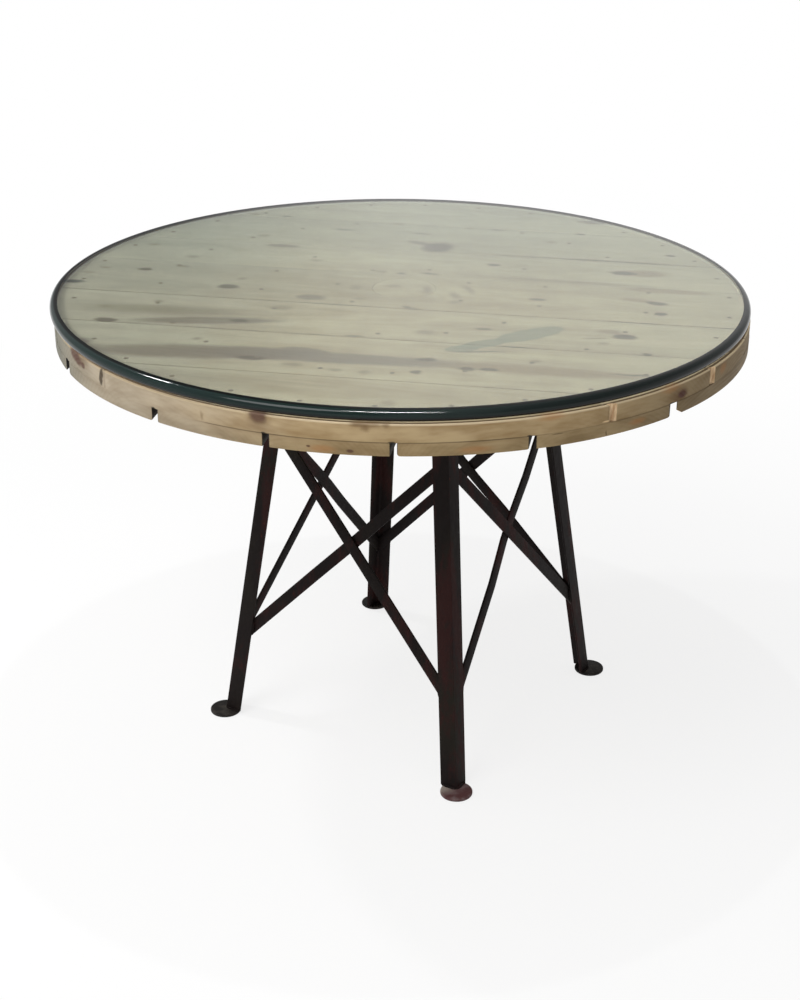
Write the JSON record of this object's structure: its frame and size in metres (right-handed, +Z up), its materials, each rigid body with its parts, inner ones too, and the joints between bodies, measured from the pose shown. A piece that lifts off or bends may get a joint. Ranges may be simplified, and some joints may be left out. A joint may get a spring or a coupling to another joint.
{
  "type": "round plank table with glass top",
  "caption": "Round dining table: a thick glass sheet on a disc of crossed pine planks, carried by a leaning steel-angle base with crossed flat bars on each side.",
  "frame": {"origin": "on the floor, under the middle of the glass sheet", "axes": "+Z up; -Y is the front, where one leg stands a little to the right; +X to the right seen from the front"},
  "size_m": [1.1428, 1.1429, 0.776],
  "materials": {
    "glass": "clear float glass with a polished half-round edge, dark green at the edge",
    "upper_planks": "bare sanded pine with knots, stains and an old sawn rim",
    "lower_planks": "bare sawn pine, darker and rougher than the upper layer",
    "plug": "bare sanded pine",
    "nails": "dull oxidised steel nail heads",
    "steelwork": "old red-brown paint over rusted angle iron, nearly matte",
    "braces": "old red-brown paint over rusted flat bar, nearly matte",
    "feet": "worn paint over steel plate, paler on top",
    "screws": "dull zinc"
  },
  "bodies": {
    "root": {"glass_top": "glass", "upper_plank_1": "upper_planks", "upper_plank_2": "upper_planks", "upper_plank_3": "upper_planks", "upper_plank_4": "upper_planks", "upper_plank_5": "upper_planks", "upper_plank_6": "upper_planks", "upper_plank_7": "upper_planks", "lower_plank_1": "lower_planks", "lower_plank_2": "lower_planks", "lower_plank_3": "lower_planks", "lower_plank_4": "lower_planks", "lower_plank_5": "lower_planks", "lower_plank_6": "lower_planks", "lower_plank_7": "lower_planks", "centre_plug": "plug", "plank_nails": "nails", "top_bar_back_right": "steelwork", "top_bar_back_left": "steelwork", "top_bar_front_left": "steelwork", "top_bar_front_right": "steelwork", "lag_screws": "screws", "screw_washers": "screws", "leg_right": "steelwork", "leg_back": "steelwork", "leg_left": "steelwork", "leg_front": "steelwork", "foot_disc_right": "feet", "foot_disc_back": "feet", "foot_disc_left": "feet", "foot_disc_front": "feet", "outer_brace_back_right": "braces", "outer_brace_back_left": "braces", "outer_brace_front_left": "braces", "outer_brace_front_right": "braces", "inner_brace_back_right": "braces", "inner_brace_back_left": "braces", "inner_brace_front_left": "braces", "inner_brace_front_right": "braces"}
  },
  "joints": []
}
